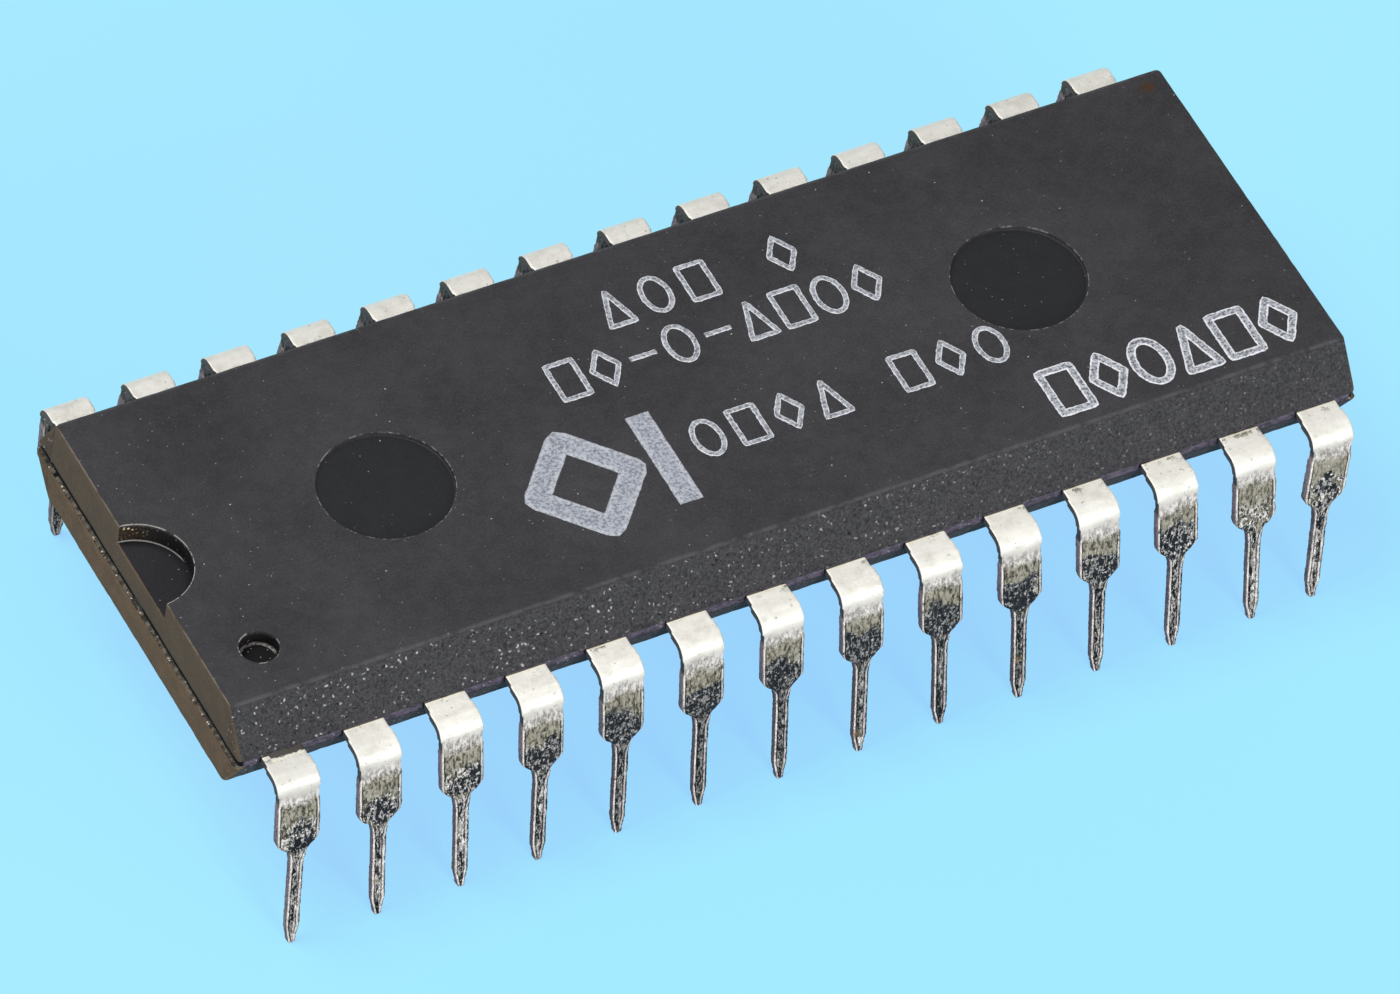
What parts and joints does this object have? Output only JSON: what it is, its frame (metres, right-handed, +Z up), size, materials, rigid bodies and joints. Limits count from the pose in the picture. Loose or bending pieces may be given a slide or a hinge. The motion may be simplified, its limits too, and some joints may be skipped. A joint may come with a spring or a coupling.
{
  "type": "dual in-line packaged integrated circuit",
  "caption": "Long plastic chip package with a notch, a dimple and round ejector marks on top, and a row of bent, pointed tinned leads along each side.",
  "frame": {"origin": "middle of the part on the plane that the lead tips stand on", "axes": "+X along the body away from its notch, -Y towards the row that begins beside the dimple, +Z up out of the body's marked top"},
  "size_m": [0.0358, 0.0172, 0.0076],
  "materials": {
    "moulding": "grainy charcoal epoxy, warm brown-grey on the ends, smooth in the round marks",
    "tinned_lead": "satin tin on the bend, mottled solder below it and streaky pins",
    "silver_plate": "spot-plated sheet",
    "attach_epoxy": "silver-filled adhesive",
    "silicon": "polished silicon",
    "bond_gold": "fine drawn wire"
  },
  "bodies": {
    "root": {"body": "moulding", "die_paddle": "silver_plate", "die_attach": "attach_epoxy", "die": "silicon", "lead_01": "tinned_lead", "lead_02": "tinned_lead", "lead_03": "tinned_lead", "lead_04": "tinned_lead", "lead_05": "tinned_lead", "lead_06": "tinned_lead", "lead_07": "tinned_lead", "lead_08": "tinned_lead", "lead_09": "tinned_lead", "lead_10": "tinned_lead", "lead_11": "tinned_lead", "lead_12": "tinned_lead", "lead_13": "tinned_lead", "lead_14": "tinned_lead", "lead_15": "tinned_lead", "lead_16": "tinned_lead", "lead_17": "tinned_lead", "lead_18": "tinned_lead", "lead_19": "tinned_lead", "lead_20": "tinned_lead", "lead_21": "tinned_lead", "lead_22": "tinned_lead", "lead_23": "tinned_lead", "lead_24": "tinned_lead", "lead_25": "tinned_lead", "lead_26": "tinned_lead", "lead_27": "tinned_lead", "lead_28": "tinned_lead", "bond_wire_01": "bond_gold", "bond_wire_02": "bond_gold", "bond_wire_03": "bond_gold", "bond_wire_04": "bond_gold", "bond_wire_05": "bond_gold", "bond_wire_06": "bond_gold", "bond_wire_07": "bond_gold", "bond_wire_08": "bond_gold", "bond_wire_09": "bond_gold", "bond_wire_10": "bond_gold", "bond_wire_11": "bond_gold", "bond_wire_12": "bond_gold", "bond_wire_13": "bond_gold", "bond_wire_14": "bond_gold", "bond_wire_15": "bond_gold", "bond_wire_16": "bond_gold", "bond_wire_17": "bond_gold", "bond_wire_18": "bond_gold", "bond_wire_19": "bond_gold", "bond_wire_20": "bond_gold", "bond_wire_21": "bond_gold", "bond_wire_22": "bond_gold", "bond_wire_23": "bond_gold", "bond_wire_24": "bond_gold", "bond_wire_25": "bond_gold", "bond_wire_26": "bond_gold", "bond_wire_27": "bond_gold", "bond_wire_28": "bond_gold"}
  },
  "joints": []
}
